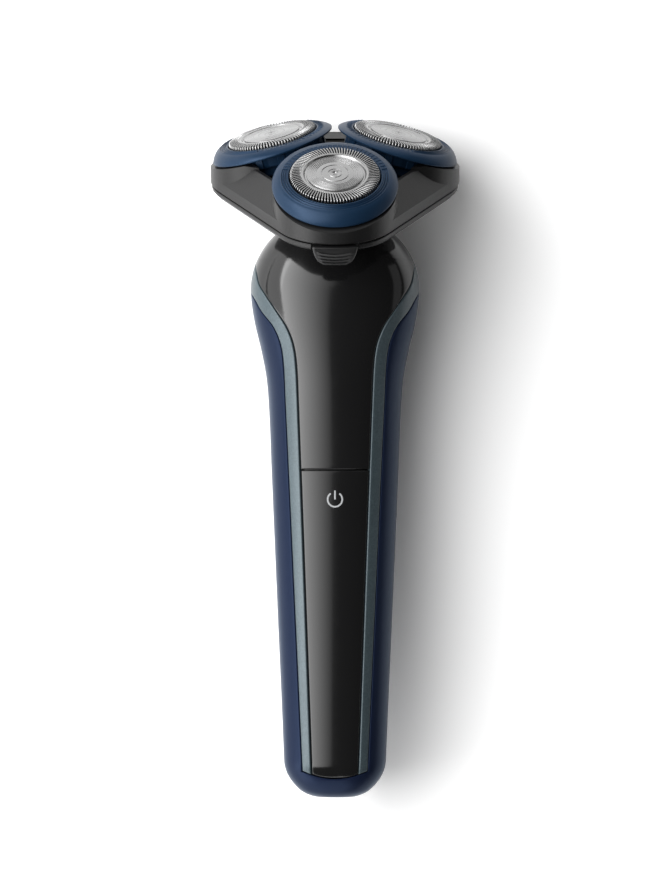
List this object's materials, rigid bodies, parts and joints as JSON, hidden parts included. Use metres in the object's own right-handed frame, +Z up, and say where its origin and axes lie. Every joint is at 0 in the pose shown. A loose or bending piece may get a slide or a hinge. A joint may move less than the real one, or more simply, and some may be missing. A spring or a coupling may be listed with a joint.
{
  "type": "rotary electric shaver",
  "caption": "Hand-held rotary shaver: curved handle with a pressable power panel and pop-up trimmer, and a tilted, detachable, opening shaving unit with floating, spinning rotary heads.",
  "frame": {"origin": "centre of the flat foot at the bottom of the handle", "axes": "+Z up the handle towards the shaving unit, -Y to the front with the power panel, +X to the right seen from the back"},
  "size_m": [0.0602, 0.0541, 0.1642],
  "materials": {
    "housing_navy": "semi-gloss moulded plastic",
    "trim_steel_blue": "fine metallic lacquer",
    "panel_black": "polished piano black",
    "frame_black": "satin moulded",
    "ring_blue": "satin soft-touch",
    "inner_grey": "moulded",
    "gear_white": "acetal",
    "board_green": "solder mask",
    "cell_wrap": "shrink wrap",
    "light_white": "translucent",
    "seal_rubber": "moulded",
    "steel": "polished and brushed",
    "dark_steel": "plain",
    "nickel": "plated"
  },
  "bodies": {
    "handle": {"rear_housing": "housing_navy", "trim_frame": "trim_steel_blue", "front_panel": "panel_black", "neck_collar": "frame_black", "neck_seal": "seal_rubber", "chassis": "inner_grey", "battery_cell": "cell_wrap", "battery_tab_plus": "nickel", "battery_tab_minus": "nickel", "circuit_board": "board_green", "board_screw_lower": "dark_steel", "board_screw_upper": "dark_steel", "switch_body": "inner_grey", "status_led": "light_white", "charge_socket": "frame_black", "charge_pin_left": "nickel", "charge_pin_right": "nickel", "motor_can": "dark_steel"},
    "power_button": {"power_panel": "panel_black", "power_light_guide": "light_white"},
    "switch_plunger": {"switch_plunger": "seal_rubber"},
    "motor_rotor": {"motor_rotor": "steel"},
    "drive_spindle": {"drive_spindle": "steel"},
    "trimmer": {"trimmer_arm": "frame_black", "trimmer_comb": "steel", "trimmer_pin": "steel"},
    "trimmer_blade": {"trimmer_blade": "dark_steel"},
    "trimmer_switch": {"trimmer_switch": "frame_black"},
    "shaving_unit": {"unit_base": "frame_black", "gear_cover": "inner_grey", "hinge_pin": "steel"},
    "release_tab": {"release_tab": "frame_black"},
    "sun_gear": {"sun_gear": "gear_white"},
    "unit_top": {"head_frame": "frame_black", "head_carrier": "inner_grey"},
    "drive_gear_front": {"drive_gear_front": "gear_white"},
    "head_front": {"ring_front": "ring_blue", "guard_front": "steel", "retainer_front": "frame_black"},
    "cutter_front": {"cutter_front": "steel"},
    "drive_gear_right": {"drive_gear_right": "gear_white"},
    "head_right": {"ring_right": "ring_blue", "guard_right": "steel", "retainer_right": "frame_black"},
    "cutter_right": {"cutter_right": "steel"},
    "drive_gear_left": {"drive_gear_left": "gear_white"},
    "head_left": {"ring_left": "ring_blue", "guard_left": "steel", "retainer_left": "frame_black"},
    "cutter_left": {"cutter_left": "steel"}
  },
  "joints": [
    {"name": "unit_release", "type": "slide", "parent": "handle", "child": "shaving_unit", "axis": [0, -0.4147, 0.91], "range_m": [0, 0.018]},
    {"name": "top_open", "type": "hinge", "parent": "shaving_unit", "child": "unit_top", "pos_m": [0, 0.01687, 0.15448], "axis": [-1, 0, 0], "range_deg": [0, 95]},
    {"name": "head_front_tilt", "type": "hinge", "parent": "unit_top", "child": "head_front", "pos_m": [0, -0.02016, 0.14371], "axis": [1, 0, 0], "range_deg": [-6, 1]},
    {"name": "head_right_tilt", "type": "hinge", "parent": "unit_top", "child": "head_right", "pos_m": [0.01374, 0.00149, 0.15357], "axis": [-0.5, 0.788, 0.3591], "range_deg": [-6, 1]},
    {"name": "head_left_tilt", "type": "hinge", "parent": "unit_top", "child": "head_left", "pos_m": [-0.01374, 0.00149, 0.15357], "axis": [-0.5, -0.788, -0.3591], "range_deg": [-6, 1]},
    {"name": "cutter_front_spin", "type": "hinge", "parent": "head_front", "child": "cutter_front", "pos_m": [0, -0.02016, 0.14371], "axis": [0, -0.6361, 0.7716], "continuous": true},
    {"name": "cutter_right_spin", "type": "hinge", "parent": "head_right", "child": "cutter_right", "pos_m": [0.01374, 0.00149, 0.15357], "axis": [0.2241, -0.2828, 0.9326], "continuous": true},
    {"name": "cutter_left_spin", "type": "hinge", "parent": "head_left", "child": "cutter_left", "pos_m": [-0.01374, 0.00149, 0.15357], "axis": [-0.2241, -0.2828, 0.9326], "continuous": true},
    {"name": "sun_gear_spin", "type": "hinge", "parent": "shaving_unit", "child": "sun_gear", "pos_m": [0, -0.00284, 0.14396], "axis": [0, -0.4147, 0.91], "continuous": true},
    {"name": "drive_gear_front_spin", "type": "hinge", "parent": "shaving_unit", "child": "drive_gear_front", "pos_m": [0, -0.01727, 0.13739], "axis": [0, -0.4147, 0.91], "continuous": true},
    {"name": "drive_gear_right_spin", "type": "hinge", "parent": "shaving_unit", "child": "drive_gear_right", "pos_m": [0.01373, 0.00437, 0.14725], "axis": [0, -0.4147, 0.91], "continuous": true},
    {"name": "drive_gear_left_spin", "type": "hinge", "parent": "shaving_unit", "child": "drive_gear_left", "pos_m": [-0.01373, 0.00437, 0.14725], "axis": [0, -0.4147, 0.91], "continuous": true},
    {"name": "release_press", "type": "slide", "parent": "shaving_unit", "child": "release_tab", "axis": [0, 0.91, 0.4147], "range_m": [0, 0.001]},
    {"name": "motor_spin", "type": "hinge", "parent": "handle", "child": "motor_rotor", "pos_m": [0, 0.00625, 0.112], "axis": [0, 0, 1], "continuous": true},
    {"name": "drive_spindle_spin", "type": "hinge", "parent": "handle", "child": "drive_spindle", "pos_m": [0, 0.00296, 0.13122], "axis": [0, -0.4147, 0.91], "continuous": true},
    {"name": "power_press", "type": "hinge", "parent": "handle", "child": "power_button", "pos_m": [0, -0.0092, 0.008], "axis": [-1, 0, 0], "range_deg": [0, 0.45]},
    {"name": "switch_press", "type": "slide", "parent": "handle", "child": "switch_plunger", "axis": [0, 1, 0], "range_m": [0, 0.0003]},
    {"name": "trimmer_open", "type": "hinge", "parent": "handle", "child": "trimmer", "pos_m": [0, 0.0133, 0.0796], "axis": [-1, 0, 0], "range_deg": [0, 50]},
    {"name": "trimmer_blade_stroke", "type": "slide", "parent": "trimmer", "child": "trimmer_blade", "axis": [1, 0, 0], "range_m": [-0.0006, 0.0006]},
    {"name": "trimmer_switch_slide", "type": "slide", "parent": "handle", "child": "trimmer_switch", "axis": [0, 0.0549, 0.9985], "range_m": [0, 0.0035]}
  ],
  "couplings": [
    {"joint": "drive_spindle_spin", "follows": "motor_spin", "ratio": 1},
    {"joint": "sun_gear_spin", "follows": "motor_spin", "ratio": 1},
    {"joint": "drive_gear_front_spin", "follows": "motor_spin", "ratio": -0.66667},
    {"joint": "cutter_front_spin", "follows": "motor_spin", "ratio": -0.66667},
    {"joint": "drive_gear_right_spin", "follows": "motor_spin", "ratio": -0.66667},
    {"joint": "cutter_right_spin", "follows": "motor_spin", "ratio": -0.66667},
    {"joint": "drive_gear_left_spin", "follows": "motor_spin", "ratio": -0.66667},
    {"joint": "cutter_left_spin", "follows": "motor_spin", "ratio": -0.66667},
    {"joint": "switch_press", "follows": "power_press", "m_per_rad": 0.038},
    {"joint": "trimmer_switch_slide", "follows": "trimmer_open", "m_per_rad": 0.004}
  ]
}
